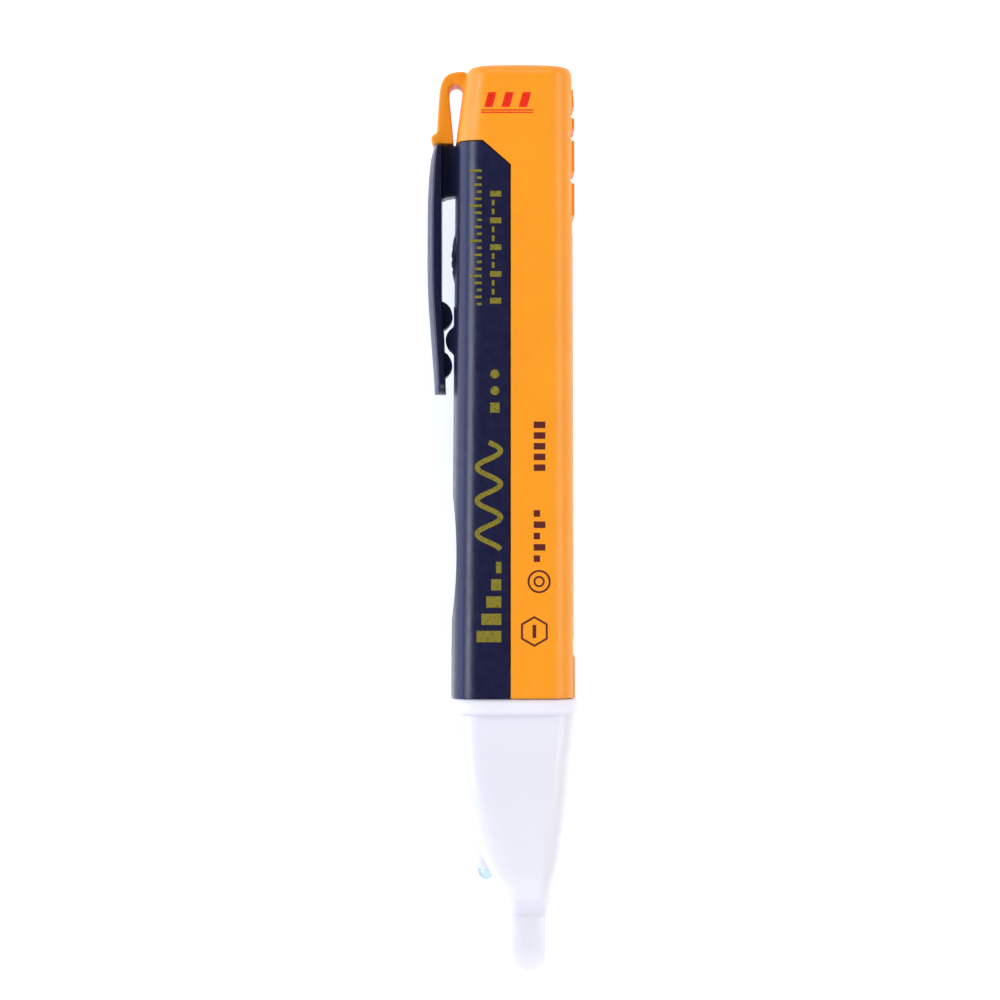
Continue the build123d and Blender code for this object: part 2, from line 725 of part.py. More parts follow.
with BuildPart() as nose_housing:
    stations = (0.0, 0.17, 0.31, 0.45, 0.61, 0.75, 0.88, 1.0)
    loft(sections=[nose_section(a) for a in stations])
    # from the neck down to the blade's root
    root_half = blade_thickness / 2
    loft(
        sections=[
            nose_section(1.0),
            section(
                neck_start + 0.45 * neck_length,
                -0.55 * neck_front,
                neck_back - 0.25,
                0.72 * neck_half_width,
                0.5,
                2.0,
                2.0,
            ),
            section(
                blade_start, blade_y - 0.5 * blade_width, blade_y + 0.5 * blade_width, root_half, 0.3, 0.7, 0.7
            ),
        ],
        ruled=True,
    )
    with BuildSketch(Plane.XY) as blade_side:
        with Locations((nose_end, blade_y)):
            Rectangle(blade_length + 2, blade_width, align=(Align.MAX, Align.CENTER))
        fillet(blade_side.vertices().group_by(Axis.X)[-1], 0.49 * blade_width)
    extrude(amount=root_half, both=True)
    # torch housing
    with BuildSketch(Plane.YZ.offset(bead_end + 8)) as torch_round:
        with Locations((torch_y, 0)):
            Circle(torch_housing_radius)
    extrude(amount=torch_end - bead_end - 8)
    torch_rim = nose_housing.faces().filter_by(Axis.X).group_by(Axis.Y)[0].edges().filter_by(GeomType.CIRCLE)
    fillet(torch_rim.group_by(Axis.X)[-1], 0.8)
    # bead and spigot
    add(bead.part)
    extrude(cavity_section(tray_end + end_gap, fit_gap), amount=spigot_length + 2)
    # hollow inside
    loft(sections=[nose_section(a, nose_wall) for a in stations[:-1]], mode=Mode.SUBTRACT)
    extrude(cavity_section(tray_end, fit_gap + spigot_wall), amount=spigot_length + 4.2, mode=Mode.SUBTRACT)
    # torch lamp's hole
    with BuildSketch(Plane.YZ.offset(bead_end + 8)):
        with Locations((torch_y, 0)):
            Circle(lamp_diameter / 2 + 0.1)
    extrude(amount=torch_end, mode=Mode.SUBTRACT)
    with BuildSketch(Plane.YZ.offset(bead_end + 8)):
        with Locations((torch_y, 0)):
            Circle(lamp_flange_diameter / 2 + 0.1)
    lamp_seat_x = torch_end + torch_dome_reach - lamp_height + lamp_flange_height
    extrude(amount=lamp_seat_x + 0.05 - bead_end - 8, mode=Mode.SUBTRACT)
    # slot in the blade for the sensing plate
    with BuildSketch(Plane.XY):
        with Locations((neck_start - 6, blade_y)):
            Rectangle(nose_end - neck_start + 3, blade_slot_width, align=(Align.MIN, Align.CENTER))
    extrude(amount=blade_slot_thickness / 2, both=True, mode=Mode.SUBTRACT)
nose_housing.part.label = "nose_housing"

# ==== Push button
saddle_floor_y = front_at(button_x) + saddle_depth
dome_edge_y = saddle_floor_y + button_edge_rise
flange_front_y = cavity_front + fit_gap
plunger_tip_y = board_front - switch_height - plunger_height
with BuildPart() as power_button:
    with BuildSketch(Plane.XY):
        with BuildLine():
            dome_mid = button_diameter / 4
            dome_centre = dome_edge_y - button_crown + button_dome_radius
            edge_drop = dome_centre - math.sqrt(button_dome_radius**2 - (button_diameter / 2) ** 2)
            mid_drop = dome_centre - math.sqrt(button_dome_radius**2 - dome_mid**2)
            ThreePointArc(
                (button_x, dome_edge_y - button_crown),
                (button_x + dome_mid, mid_drop),
                (button_x + button_diameter / 2, edge_drop),
            )
            Polyline(
                (button_x + button_diameter / 2, edge_drop),
                (button_x + button_diameter / 2, flange_front_y),
                (button_x + button_diameter / 2 + button_flange_width, flange_front_y),
                (button_x + button_diameter / 2 + button_flange_width, flange_front_y + button_flange_thickness),
                (button_x + plunger_radius, flange_front_y + button_flange_thickness),
                (button_x + plunger_radius, plunger_tip_y - fit_gap),
                (button_x, plunger_tip_y - fit_gap),
                (button_x, dome_edge_y - button_crown),
            )
        make_face()
    revolve(axis=Axis((button_x, 0, 0), (0, 1, 0)))
power_button.part.label = "power_button"

# ==== Battery tray: holds both cells, carries the rails the cover slides on
contact_size = 1.35 * cell_radius
tab_width = 2.0
bay_end = cell_end + contact_thickness
with BuildPart() as battery_tray:
    tray_floor = (tray_start, tray_floor_y, 0)
    with Locations(tray_floor):
        Box(
            tray_end - tray_start,
            tray_top_y - tray_floor_y,
            2 * tray_half_width,
            align=(Align.MIN, Align.MIN, Align.CENTER),
        )
    # end walls stand up behind the contacts
    with Locations((tray_start, tray_floor_y, 0)):
        Box(end_wall, cell_y + 4 - tray_floor_y, 2 * cell_radius, align=(Align.MIN, Align.MIN, Align.CENTER))
    with Locations((bay_end, tray_floor_y, 0)):
        Box(front_block, cell_y + 4 - tray_floor_y, 2 * cell_radius, align=(Align.MIN, Align.MIN, Align.CENTER))
    # rails
    rail_start = shell_start + shell_corner_run + 2 * fit_gap
    with Locations((rail_start, tray_top_y, 0)):
        Box(
            tray_end - rail_start,
            rail_height,
            2 * (tray_half_width + rail_depth),
            align=(Align.MIN, Align.MAX, Align.CENTER),
        )
    # bed of the cells
    with BuildSketch(Plane.YZ.offset(spring_plate_x)):
        with Locations((cell_y, 0)):
            Circle(cradle_radius)
    extrude(amount=bay_end - spring_plate_x, mode=Mode.SUBTRACT)
    # finger scoops beside each cell
    with BuildSketch(Plane.XZ.offset(-cell_y + cell_radius - 1.2)):
        for x in (cell_start + 0.5 * cell_length, cell_end - 0.5 * cell_length):
            with Locations((x, cradle_radius - 1.6), (x, 1.6 - cradle_radius)):
                Circle(0.75 * cell_radius)
    extrude(amount=-12, mode=Mode.SUBTRACT)
    # slots for the contact tabs
    with Locations(
        (spring_plate_x + contact_thickness / 2, tray_floor_y, 0),
        (cell_end + contact_thickness / 2, tray_floor_y, 0),
    ):
        Box(contact_thickness + 0.2, 3 * cradle_floor, tab_width + 0.4, mode=Mode.SUBTRACT)
    # screw holes with sunk seats
    for x in screw_x:
        with BuildSketch(Plane.XZ.offset(-tray_floor_y)):
            with Locations((x, screw_z), (x, -screw_z)):
                Circle(screw_diameter / 2 + 0.15)
        extrude(amount=-12, mode=Mode.SUBTRACT)
        with BuildSketch(Plane.XZ.offset(-screw_seat_y)):
            with Locations((x, screw_z), (x, -screw_z)):
                Circle(screw_head_diameter / 2 + 0.1)
        extrude(amount=-12, mode=Mode.SUBTRACT)
battery_tray.part.label = "battery_tray"


# ==== Cells, one behind the other
def build_cell(start):
    """One AAA cell standing along x from start, its nub toward the nose."""
    with BuildPart() as cell:
        can_end = start + cell_length - cell_nub_height
        with BuildSketch(Plane.YZ.offset(start)):
            with Locations((cell_y, 0)):
                Circle(cell_radius)
        extrude(amount=can_end - start)
        fillet(cell.faces().filter_by(Axis.X).edges(), cell_edge_radius)
        with BuildSketch(Plane.YZ.offset(can_end - 0.01)):
            with Locations((cell_y, 0)):
                Circle(cell_nub_diameter / 2)
        extrude(amount=cell_nub_height + 0.01)
        nub_end = cell.faces().filter_by(Axis.X).sort_by(Axis.X)[-1]
        fillet(nub_end.edges(), 0.25)
    return cell


rear_cell = build_cell(cell_start)
rear_cell.part.label = "rear_cell"
front_cell = build_cell(cell_start + cell_length)
front_cell.part.label = "front_cell"


# ==== Contacts
def build_contact(x):
    """Flat contact with a tab that runs down through the tray and the board."""
    with BuildPart() as contact:
        with BuildSketch(Plane.YZ.offset(x)):
            with Locations((cell_y, 0)):
                RectangleRounded(contact_size, contact_size, 0.8)
            with Locations((cell_y, 0)):
                Rectangle(cell_y - board_front + 0.8, tab_width, align=(Align.MAX, Align.CENTER))
        extrude(amount=contact_thickness)
    return contact


spring_plate = build_contact(spring_plate_x)
spring_plate.part.label = "spring_plate"
front_contact = build_contact(cell_end)
front_contact.part.label = "front_contact"

with BuildPart() as battery_spring:
    coil_height = spring_length - spring_wire
    narrowing = math.degrees(math.atan2(spring_base_radius - spring_top_radius, coil_height))
    with BuildLine() as coil:
        Helix(
            pitch=coil_height / spring_turns,
            height=coil_height,
            radius=spring_base_radius,
            center=(spring_x + spring_wire / 2, cell_y, 0),
            direction=(1, 0, 0),
            cone_angle=-narrowing,
        )
    with BuildSketch(Plane(origin=coil.line @ 0, z_dir=coil.line % 0)):
        Circle(spring_wire / 2)
    sweep(is_frenet=True)
battery_spring.part.label = "battery_spring"

# ==== Circuit board: full width in the front shell, a tongue at each end
rear_tongue_half = 4.0
board_half_width = cavity_half_width - board_side_gap
board_end = tray_end - 0.3
board_tip = tray_end + tongue_share * nose_length
with BuildPart() as circuit_board:
    with BuildSketch(Plane.XZ.offset(-board_back)):
        with Locations((board_start, 0)):
            Rectangle(board_end - board_start, 2 * board_half_width, align=(Align.MIN, Align.CENTER))
        with Locations((tray_start + 0.3, 0)):
            Rectangle(board_tip - tray_start - 0.3, 2 * rear_tongue_half, align=(Align.MIN, Align.CENTER))
        with Locations((board_end - 2, 0)):
            Rectangle(board_tip - board_end + 2, 2 * tongue_half_width, align=(Align.MIN, Align.CENTER))
        for x in screw_x:
            with Locations((x, screw_z), (x, -screw_z)):
                Circle(screw_diameter / 2 + 0.2, mode=Mode.SUBTRACT)
        for x in (spring_plate_x, cell_end):
            with Locations((x + contact_thickness / 2, 0)):
                Rectangle(contact_thickness + 0.2, tab_width + 0.2, mode=Mode.SUBTRACT)
    extrude(amount=board_thickness)
circuit_board.part.label = "circuit_board"


# ==== Parts on the board's front side
def stand_on_board(spots, long_x, wide_z, high):
    """Boxes of one size on the board at each (x, z)."""
    with BuildPart() as group:
        for x, z in spots:
            with Locations((x, board_front, z)):
                Box(long_x, high, wide_z, align=(Align.CENTER, Align.MAX, Align.CENTER))
    return group


chip_x = (sounder_x + button_x) / 2
with BuildPart() as logic_chip:
    with Locations((chip_x, board_front - 0.15, 0)):
        Box(8.7, 1.5, 3.9, align=(Align.CENTER, Align.MAX, Align.CENTER))
    chamfer(logic_chip.faces().sort_by(Axis.Y)[0].edges(), 0.25)
    leg_x = [chip_x + 1.27 * (i - 3) for i in range(7)]
    for x in leg_x:
        for side in (-1, 1):
            with Locations((x, board_front, side * 2.5)):
                Box(0.41, 0.2, 1.1, align=(Align.CENTER, Align.MAX, Align.CENTER))
            with Locations((x, board_front, side * 2.0)):
                Box(0.41, 0.95, 0.2, align=(Align.CENTER, Align.MAX, Align.CENTER))
logic_chip.part.label = "logic_chip"

transistor_spots = ((sounder_x + 12, 3.5), (sounder_x + 12, -3.5), (button_x + 9, -4.5))
with BuildPart() as transistors:
    add(stand_on_board(transistor_spots, 2.9, 1.3, 1.0).part)
    for x, z in transistor_spots:
        with Locations((x - 0.95, board_front, z - 0.9), (x + 0.95, board_front, z - 0.9), (x, board_front, z + 0.9)):
            Box(0.4, 0.25, 0.7, align=(Align.CENTER, Align.MAX, Align.CENTER))
transistors.part.label = "transistors"

resistor_spots = [(chip_x - 9 + 3 * i, 6.0) for i in range(6)] + [(chip_x - 6 + 4 * i, -5.6) for i in range(4)]
chip_resistors = stand_on_board(resistor_spots, 1.6, 0.8, 0.5)
chip_resistors.part.label = "chip_resistors"
capacitor_spots = ((sounder_x - 7.4, 5.2), (chip_x + 8, 0), (chip_x - 8, 0.5), (button_x + 9, 4.5))
chip_capacitors = stand_on_board(capacitor_spots, 2.0, 1.25, 0.9)
chip_capacitors.part.label = "chip_capacitors"

# ==== Switch under the button
with BuildPart() as switch_body:
    with Locations((button_x, board_front, 0)):
        Box(switch_side, switch_height, switch_side, align=(Align.CENTER, Align.MAX, Align.CENTER))
    with BuildSketch(Plane.XZ.offset(-board_front + switch_height)):
        with Locations((button_x, 0)):
            Circle(plunger_radius + 0.1)
    extrude(amount=-1.0, mode=Mode.SUBTRACT)
    for side in (-1, 1):
        for x in (button_x - 2.2, button_x + 2.2):
            with Locations((x, board_front, side * (switch_side / 2 + 0.5))):
                Box(0.7, 0.3, 1.2, align=(Align.CENTER, Align.MAX, Align.CENTER))
switch_body.part.label = "switch_body"

with BuildPart() as switch_plunger:
    with BuildSketch(Plane.XZ.offset(-plunger_tip_y)):
        with Locations((button_x, 0)):
            Circle(plunger_radius)
    extrude(amount=-plunger_height - 0.6)
    chamfer(switch_plunger.faces().sort_by(Axis.Y)[0].edges(), 0.15)
switch_plunger.part.label = "switch_plunger"

# ==== Sounder: brass plate on the ring in the shell, ceramic disc on it, two wires to the board
sounder_plate_y = cavity_front + sounder_ring_height
with BuildPart() as sounder_plate:
    with BuildSketch(Plane.XZ.offset(-sounder_plate_y)):
        with Locations((sounder_x, 0)):
            Circle(sounder_diameter / 2)
    extrude(amount=-sounder_plate_thickness)
sounder_plate.part.label = "sounder_plate"

ceramic_y = sounder_plate_y + sounder_plate_thickness
with BuildPart() as sounder_ceramic:
    with BuildSketch(Plane.XZ.offset(-ceramic_y)):
        with Locations((sounder_x, 0)):
            Circle(ceramic_diameter / 2)
    extrude(amount=-ceramic_thickness)
sounder_ceramic.part.label = "sounder_ceramic"


def build_wire(points, radius):
    """Round wire along a smooth line through points."""
    with BuildPart() as wire:
        with BuildLine() as path:
            Spline(*points)
        with BuildSketch(Plane(origin=path.line @ 0, z_dir=path.line % 0)):
            Circle(radius)
        sweep()
    return wire.part


with BuildPart() as sounder_wires:
    wire_radius = 0.3
    wire_y = ceramic_y + ceramic_thickness + wire_radius + 0.2
    add(
        build_wire(
            [
                (sounder_x + 2, wire_y, 0.8),
                (sounder_x + 6, wire_y + 0.3, 1.6),
                (sounder_x + 8.5, board_front - 0.2, 1.8),
            ],
            wire_radius,
        )
    )
    plate_wire_y = ceramic_y + wire_radius
    add(
        build_wire(
            [
                (sounder_x + 5.2, plate_wire_y, -1.2),
                (sounder_x + 7, plate_wire_y + 0.5, -1.6),
                (sounder_x + 8.5, board_front - 0.2, -1.8),
            ],
            wire_radius,
        )
    )
sounder_wires.part.label = "sounder_wires"


# ==== Lamps
def build_lamp(base_x, y, z):
    """3 mm lamp standing along x with its flange at base_x."""
    with BuildPart() as lamp:
        with BuildSketch(Plane.YZ.offset(base_x)):
            with Locations((y, z)):
                Circle(lamp_flange_diameter / 2)
        extrude(amount=lamp_flange_height)
        with BuildSketch(Plane.YZ.offset(base_x + lamp_flange_height)):
            with Locations((y, z)):
                Circle(lamp_diameter / 2)
        extrude(amount=lamp_height - lamp_flange_height - lamp_diameter / 2)
        with Locations((base_x + lamp_height - lamp_diameter / 2, y, z)):
            Sphere(lamp_diameter / 2)
    return lamp


torch_base_x = torch_end + torch_dome_reach - lamp_height
torch_led = build_lamp(torch_base_x, torch_y, 0)
torch_led.part.label = "torch_led"
with BuildPart() as warning_leds:
    for side in (-1, 1):
        add(build_lamp(warning_lamp_x, warning_lamp_y, side * warning_lamp_z).part)
warning_leds.part.label = "warning_leds"

# leads of the torch lamp: out of its base, then down onto the board's front
with BuildPart() as torch_led_leads:
    lead_y = board_front - lead_width / 2
    for side in (-1, 1):
        z = side * lead_pitch / 2
        with Locations((board_tip - 3, lead_y, z)):
            Box(torch_base_x - board_tip + 3, lead_width, lead_width, align=(Align.MIN, Align.CENTER, Align.CENTER))
torch_led_leads.part.label = "torch_led_leads"

# leads of the warning lamps: back from each base, then down onto the board's back
with BuildPart() as warning_led_leads:
    for side in (-1, 1):
        for pin in (-1, 1):
            z = side * warning_lamp_z + pin * lead_pitch / 4
            reach = 1.6 + 0.6 * (pin + 1)
            with Locations((warning_lamp_x, warning_lamp_y, z)):
                Box(reach, lead_width, lead_width, align=(Align.MAX, Align.CENTER, Align.CENTER))
            with Locations((warning_lamp_x - reach, board_back, z)):
                Box(
                    lead_width,
                    warning_lamp_y + lead_width / 2 - board_back,
                    lead_width,
                    align=(Align.MIN, Align.MIN, Align.CENTER),
                )
warning_led_leads.part.label = "warning_led_leads"

# ==== Sensing plate: stands on the board's back and runs out into the blade
with BuildPart() as sensing_plate:
    plate_foot_x = warning_lamp_x - 3
    plate_tip_x = nose_end - 3.6
    with BuildSketch(Plane.XY):
        with BuildLine():
            Polyline(
                (plate_foot_x, board_back),
                (plate_foot_x, board_back + 4),
                (neck_start - 4.5, blade_y + sensing_plate_width / 2),
                (plate_tip_x, blade_y + sensing_plate_width / 2),
                (plate_tip_x, blade_y - sensing_plate_width / 2),
                (neck_start - 4.5, blade_y - sensing_plate_width / 2),
                (board_tip, board_back + 1.2),
                (board_tip - 4, board_back),
                close=True,
            )
        make_face()
    extrude(amount=sensing_plate_thickness / 2, both=True)
sensing_plate.part.label = "sensing_plate"

# ==== Screws through tray and board into the front shell
with BuildPart() as assembly_screws:
    for x in screw_x:
        with BuildSketch(Plane.XZ.offset(-screw_seat_y)):
            with Locations((x, screw_z), (x, -screw_z)):
                Circle(screw_head_diameter / 2)
        extrude(amount=-screw_head_height)
        with BuildSketch(Plane.XZ.offset(-screw_seat_y)):
            with Locations((x, screw_z), (x, -screw_z)):
                Circle(screw_diameter / 2)
        extrude(amount=screw_length)
    heads = assembly_screws.faces().filter_by(Axis.Y).group_by(Axis.Y)[-1]
    fillet(heads.edges(), 0.35)
    with BuildSketch(Plane.XZ.offset(-screw_seat_y - screw_head_height)):
        for x in screw_x:
            with Locations((x, screw_z), (x, -screw_z)):
                Rectangle(1.7, 0.4)
                Rectangle(0.4, 1.7)
    extrude(amount=0.6, mode=Mode.SUBTRACT)
assembly_screws.part.label = "assembly_screws"

# ==== Export, with the tester laid on its side
bead_back = back_at(shell_end) + bead_rise
lie = Location((-nose_end / 2, -(clip_outer_y + bead_back) / 2, body_half_width + bead_rise))
os.makedirs("parts", exist_ok=True)
export_step(front_shell.part.moved(lie), "parts/front_shell.step")
export_step(clip_shoulder.part.moved(lie), "parts/clip_shoulder.step")
export_step(pocket_clip.part.moved(lie), "parts/pocket_clip.step")
export_step(battery_cover.part.moved(lie), "parts/battery_cover.step")
export_step(latch_loop.part.moved(lie), "parts/latch_loop.step")
export_step(latch_arm.part.moved(lie), "parts/latch_arm.step")
export_step(rear_label.part.moved(lie), "parts/rear_label.step")
export_step(nose_housing.part.moved(lie), "parts/nose_housing.step")
export_step(power_button.part.moved(lie), "parts/power_button.step")
export_step(battery_tray.part.moved(lie), "parts/battery_tray.step")
export_step(rear_cell.part.moved(lie), "parts/rear_cell.step")
export_step(front_cell.part.moved(lie), "parts/front_cell.step")
export_step(spring_plate.part.moved(lie), "parts/spring_plate.step")
export_step(front_contact.part.moved(lie), "parts/front_contact.step")
export_step(battery_spring.part.moved(lie), "parts/battery_spring.step")
export_step(circuit_board.part.moved(lie), "parts/circuit_board.step")
export_step(logic_chip.part.moved(lie), "parts/logic_chip.step")
export_step(transistors.part.moved(lie), "parts/transistors.step")
export_step(chip_resistors.part.moved(lie), "parts/chip_resistors.step")
export_step(chip_capacitors.part.moved(lie), "parts/chip_capacitors.step")
export_step(switch_body.part.moved(lie), "parts/switch_body.step")
export_step(switch_plunger.part.moved(lie), "parts/switch_plunger.step")
export_step(sounder_plate.part.moved(lie), "parts/sounder_plate.step")
export_step(sounder_ceramic.part.moved(lie), "parts/sounder_ceramic.step")
export_step(sounder_wires.part.moved(lie), "parts/sounder_wires.step")
export_step(torch_led.part.moved(lie), "parts/torch_led.step")
export_step(warning_leds.part.moved(lie), "parts/warning_leds.step")
export_step(torch_led_leads.part.moved(lie), "parts/torch_led_leads.step")
export_step(warning_led_leads.part.moved(lie), "parts/warning_led_leads.step")
export_step(sensing_plate.part.moved(lie), "parts/sensing_plate.step")
export_step(assembly_screws.part.moved(lie), "parts/assembly_screws.step")
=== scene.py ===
import math

import bmesh
import bpy
from mathutils import Matrix, Vector


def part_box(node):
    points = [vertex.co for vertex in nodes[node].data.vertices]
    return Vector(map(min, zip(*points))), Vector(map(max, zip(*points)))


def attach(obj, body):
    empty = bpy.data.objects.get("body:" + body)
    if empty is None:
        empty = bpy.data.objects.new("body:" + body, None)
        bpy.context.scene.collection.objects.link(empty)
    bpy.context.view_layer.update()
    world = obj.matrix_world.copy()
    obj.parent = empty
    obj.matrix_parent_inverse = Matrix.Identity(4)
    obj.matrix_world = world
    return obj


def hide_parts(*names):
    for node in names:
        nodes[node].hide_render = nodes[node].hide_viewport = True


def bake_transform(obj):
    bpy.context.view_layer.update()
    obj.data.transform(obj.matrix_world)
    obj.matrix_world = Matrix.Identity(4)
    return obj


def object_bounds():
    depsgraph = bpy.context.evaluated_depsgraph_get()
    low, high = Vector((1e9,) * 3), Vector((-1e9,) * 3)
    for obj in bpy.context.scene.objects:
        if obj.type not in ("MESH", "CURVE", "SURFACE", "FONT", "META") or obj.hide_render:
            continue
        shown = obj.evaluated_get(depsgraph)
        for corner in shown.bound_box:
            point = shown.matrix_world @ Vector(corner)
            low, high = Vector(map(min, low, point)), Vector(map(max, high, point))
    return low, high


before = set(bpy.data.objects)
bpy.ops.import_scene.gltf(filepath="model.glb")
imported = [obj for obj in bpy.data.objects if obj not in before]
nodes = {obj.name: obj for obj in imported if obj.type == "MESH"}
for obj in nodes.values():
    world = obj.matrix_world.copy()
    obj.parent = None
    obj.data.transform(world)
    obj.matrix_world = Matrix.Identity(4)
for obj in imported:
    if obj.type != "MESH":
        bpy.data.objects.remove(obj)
cad_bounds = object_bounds()

# The tester lies on its side: +X runs to the sensing tip, -Y to the clip, +Z up.
MM = 0.001
floor_z = cad_bounds[0].z
shell_low, shell_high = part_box("front_shell")
mid_z = (shell_low.z + shell_high.z) / 2
half_width = (shell_high.z - shell_low.z) / 2
cap_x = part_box("battery_cover")[0].x
CELL_OFFSET = 2.85 * MM  # how far the cells sit behind the long axis
CELL_LENGTH = 44.5 * MM
axis_y = sum(corner.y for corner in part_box("rear_cell")) / 2 - CELL_OFFSET


def at(x, y, z=0.0):
    """Point in the row frame, from mm along from the cap end, off the long axis and off the middle plane."""
    return Vector((cap_x + x * MM, axis_y + y * MM, mid_z + z * MM))


# ---------------------------------------------------------------- materials
class Nodes:
    """Short spellings for building one material's nodes."""

    def __init__(self, name):
        self.mat = bpy.data.materials.new(name)
        self.mat.use_nodes = True
        self.tree = self.mat.node_tree
        self.shader = self.tree.nodes["Principled BSDF"]
        self.coord = self.tree.nodes.new("ShaderNodeTexCoord")
        self.place = self.coord.outputs["Object"]

    def set(self, **values):
        for key, value in values.items():
            self.shader.inputs[key.replace("_", " ")].default_value = value

    def link(self, a, b):
        self.tree.links.new(a, b)

    def noise(self, scale, detail=3.0, rough=0.55, stretch=None):
        n = self.tree.nodes.new("ShaderNodeTexNoise")
        n.inputs["Scale"].default_value = scale
        n.inputs["Detail"].default_value = detail
        n.inputs["Roughness"].default_value = rough
        self.link(self.scaled(stretch), n.inputs["Vector"])
        return n.outputs["Fac"]

    def voronoi(self, scale, feature="F1"):
        n = self.tree.nodes.new("ShaderNodeTexVoronoi")
        n.feature = feature
        n.inputs["Scale"].default_value = scale
        self.link(self.place, n.inputs["Vector"])
        return n.outputs["Distance"]

    def scaled(self, stretch):
        if not stretch:
            return self.place
        n = self.tree.nodes.new("ShaderNodeMapping")
        n.inputs["Scale"].default_value = stretch
        self.link(self.place, n.inputs["Vector"])
        return n.outputs["Vector"]

    def axis(self, name):
        n = self.tree.nodes.new("ShaderNodeSeparateXYZ")
        self.link(self.place, n.inputs["Vector"])
        return n.outputs[name]

    def math(self, kind, a, b=None, clamp=False):
        n = self.tree.nodes.new("ShaderNodeMath")
        n.operation = kind
        n.use_clamp = clamp
        for socket, value in zip(n.inputs, (a, b)):
            if value is None:
                continue
            if isinstance(value, (int, float)):
                socket.default_value = value
            else:
                self.link(value, socket)
        return n.outputs[0]

    def span(self, value, a, b, c, d):
        n = self.tree.nodes.new("ShaderNodeMapRange")
        for key, number in zip(("From Min", "From Max", "To Min", "To Max"), (a, b, c, d)):
            n.inputs[key].default_value = number
        self.link(value, n.inputs["Value"])
        return n.outputs["Result"]

    def ramp(self, value, stops, hard=False):
        n = self.tree.nodes.new("ShaderNodeValToRGB")
        ramp = n.color_ramp
        if hard:
            ramp.interpolation = "CONSTANT"
        while len(ramp.elements) < len(stops):
            ramp.elements.new(0.5)
        for element, (place, colour) in zip(ramp.elements, stops):
            element.position = place
            element.color = (*colour, 1)
        self.link(value, n.inputs["Fac"])
        return n.outputs["Color"]

    def mix(self, fac, a, b):
        n = self.tree.nodes.new("ShaderNodeMix")
        n.data_type = "RGBA"
        for socket, value in ((n.inputs[0], fac), (n.inputs[6], a), (n.inputs[7], b)):
            if isinstance(value, (int, float)):
                socket.default_value = value
            elif isinstance(value, tuple):
                socket.default_value = (*value, 1)
            else:
                self.link(value, socket)
        return n.outputs[2]

    def bump(self, height, strength, distance):
        n = self.tree.nodes.new("ShaderNodeBump")
        n.inputs["Strength"].default_value = strength
        n.inputs["Distance"].default_value = distance
        self.link(height, n.inputs["Height"])
        self.link(n.outputs["Normal"], self.shader.inputs["Normal"])

    def colour(self, output):
        self.link(output, self.shader.inputs["Base Color"])

    def roughness(self, value, a, b, c, d):
        self.link(self.span(value, a, b, c, d), self.shader.inputs["Roughness"])


def tint(colour, factor):
    return tuple(min(1.0, c * factor) for c in colour)


def moulded(name, colour, rough, grain=2600, depth=0.00002, strength=0.25, vary=0.05, **sockets):
    """Moulded plastic with a spark-eroded grain, faint mottling and small changes of gloss."""
    n = Nodes(name)
    n.colour(n.ramp(n.noise(90), ((0.3, tint(colour, 1 - vary)), (0.7, tint(colour, 1 + vary)))))
    fine = n.noise(grain, detail=2.0)
    n.roughness(n.noise(grain / 5), 0.3, 0.7, rough - 0.05, rough + 0.05)
    n.bump(fine, strength, depth)
    n.set(**sockets)
    return n.mat


ORANGE = (0.97, 0.335, 0.010)
NAVY = (0.0085, 0.0097, 0.040)
orange = moulded("orange_abs", ORANGE, 0.42, grain=3200, depth=0.00003, strength=0.3, vary=0.03)
navy = moulded("navy_abs", NAVY, 0.33, grain=3600, depth=0.00002, strength=0.22, vary=0.08)
button_white = moulded("button_silicone", (0.72, 0.71, 0.82), 0.38, grain=2800, vary=0.02)
tray_black = moulded("tray_black", (0.02, 0.02, 0.022), 0.45, grain=1800, vary=0.12)
switch_black = moulded("switch_black", (0.025, 0.025, 0.025), 0.4, grain=4200, vary=0.1)
plunger_cream = moulded("plunger_cream", (0.72, 0.66, 0.52), 0.4, grain=4200, vary=0.03)


def nose_material():
    """Milky polycarbonate: light goes a little way in, and the surface is satin."""
    n = Nodes("nose_milky")
    n.colour(n.ramp(n.noise(60), ((0.3, (0.85, 0.835, 0.90)), (0.7, (0.87, 0.855, 0.92)))))
    n.roughness(n.noise(700), 0.3, 0.7, 0.28, 0.38)
    n.bump(n.noise(2400, detail=2.0), 0.12, 0.00002)
    n.set(
        Subsurface_Weight=0.55,
        Subsurface_Radius=(1.0, 0.95, 1.0),
        Subsurface_Scale=0.0022,
        IOR=1.5,
        Specular_IOR_Level=0.5,
    )
    return n.mat


nose_milky = nose_material()


def lamp_material(name, colour, rough):
    """Clear tinted epoxy with a faint haze inside."""
    n = Nodes(name)
    n.colour(n.ramp(n.noise(900), ((0.35, tint(colour, 0.92)), (0.65, colour))))
    n.roughness(n.noise(1200), 0.3, 0.7, rough, rough + 0.06)
    n.set(Transmission_Weight=0.85, IOR=1.5)
    return n.mat


torch_clear = lamp_material("torch_epoxy", (0.62, 0.78, 1.0), 0.04)
lamp_red = lamp_material("lamp_epoxy_red", (0.85, 0.05, 0.03), 0.08)


def metal(name, colour, rough, brushed=(1, 1, 1), scale=1500):
    """Plated or rolled metal with fine drawing marks and faint spots."""
    n = Nodes(name)
    n.colour(n.ramp(n.noise(220), ((0.35, tint(colour, 0.88)), (0.7, colour))))
    n.roughness(n.noise(scale, stretch=brushed), 0.3, 0.7, rough - 0.07, rough + 0.1)
    n.bump(n.noise(scale, stretch=brushed), 0.12, 0.00001)
    n.set(Metallic=1.0)
    return n.mat


